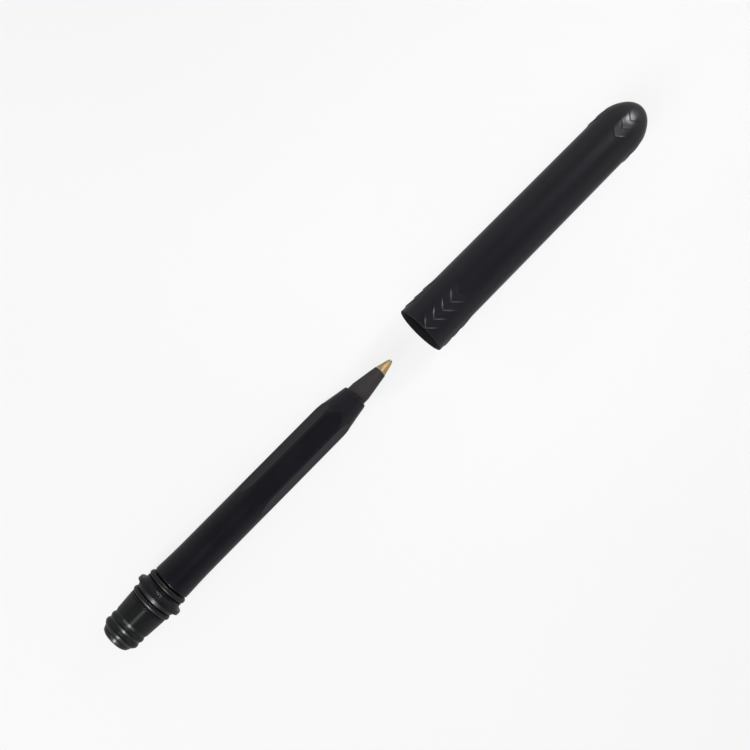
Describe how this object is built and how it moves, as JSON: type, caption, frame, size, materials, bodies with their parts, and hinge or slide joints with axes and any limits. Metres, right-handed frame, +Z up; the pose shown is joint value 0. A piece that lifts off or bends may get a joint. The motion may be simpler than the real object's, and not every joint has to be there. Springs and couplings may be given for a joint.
{
  "type": "pocket pen",
  "caption": "Short ballpoint pen with a tapered nose, long flats, a flange between two rubber rings, and a long domed cap with chevron relief, drawn off in line with the tip.",
  "frame": {"origin": "middle of the bounding box, at its lowest point", "axes": "+X along the pen from the tail to the cap's dome, +Z up"},
  "size_m": [0.1686, 0.0126, 0.0127],
  "materials": {
    "cap_plastic": "satin, moulded",
    "barrel_plastic": "satin, moulded",
    "plug_plastic": "gloss, moulded",
    "ring_rubber": "dull",
    "holder_plastic": "dull, moulded",
    "tip_brass": "turned",
    "ball_metal": "ground",
    "tube_plastic": "extruded",
    "ink_paste": "wet",
    "grease": "wet"
  },
  "bodies": {
    "barrel": {"barrel": "barrel_plastic", "tail_plug": "plug_plastic", "rear_o_ring": "ring_rubber", "front_o_ring": "ring_rubber", "ink_tube": "tube_plastic", "ink": "ink_paste", "grease_follower": "grease", "tip_holder": "holder_plastic", "tip_socket": "tip_brass"},
    "writing_ball": {"writing_ball": "ball_metal"},
    "cap": {"cap_shell": "cap_plastic"}
  },
  "joints": [
    {"name": "cap_slide", "type": "slide", "parent": "barrel", "child": "cap", "axis": [1, 0, 0], "range_m": [-0.08048, 0]},
    {"name": "ball_roll", "type": "hinge", "parent": "barrel", "child": "writing_ball", "pos_m": [0.0004, 0, 0.00635], "axis": [0, 1, 0], "continuous": true}
  ]
}
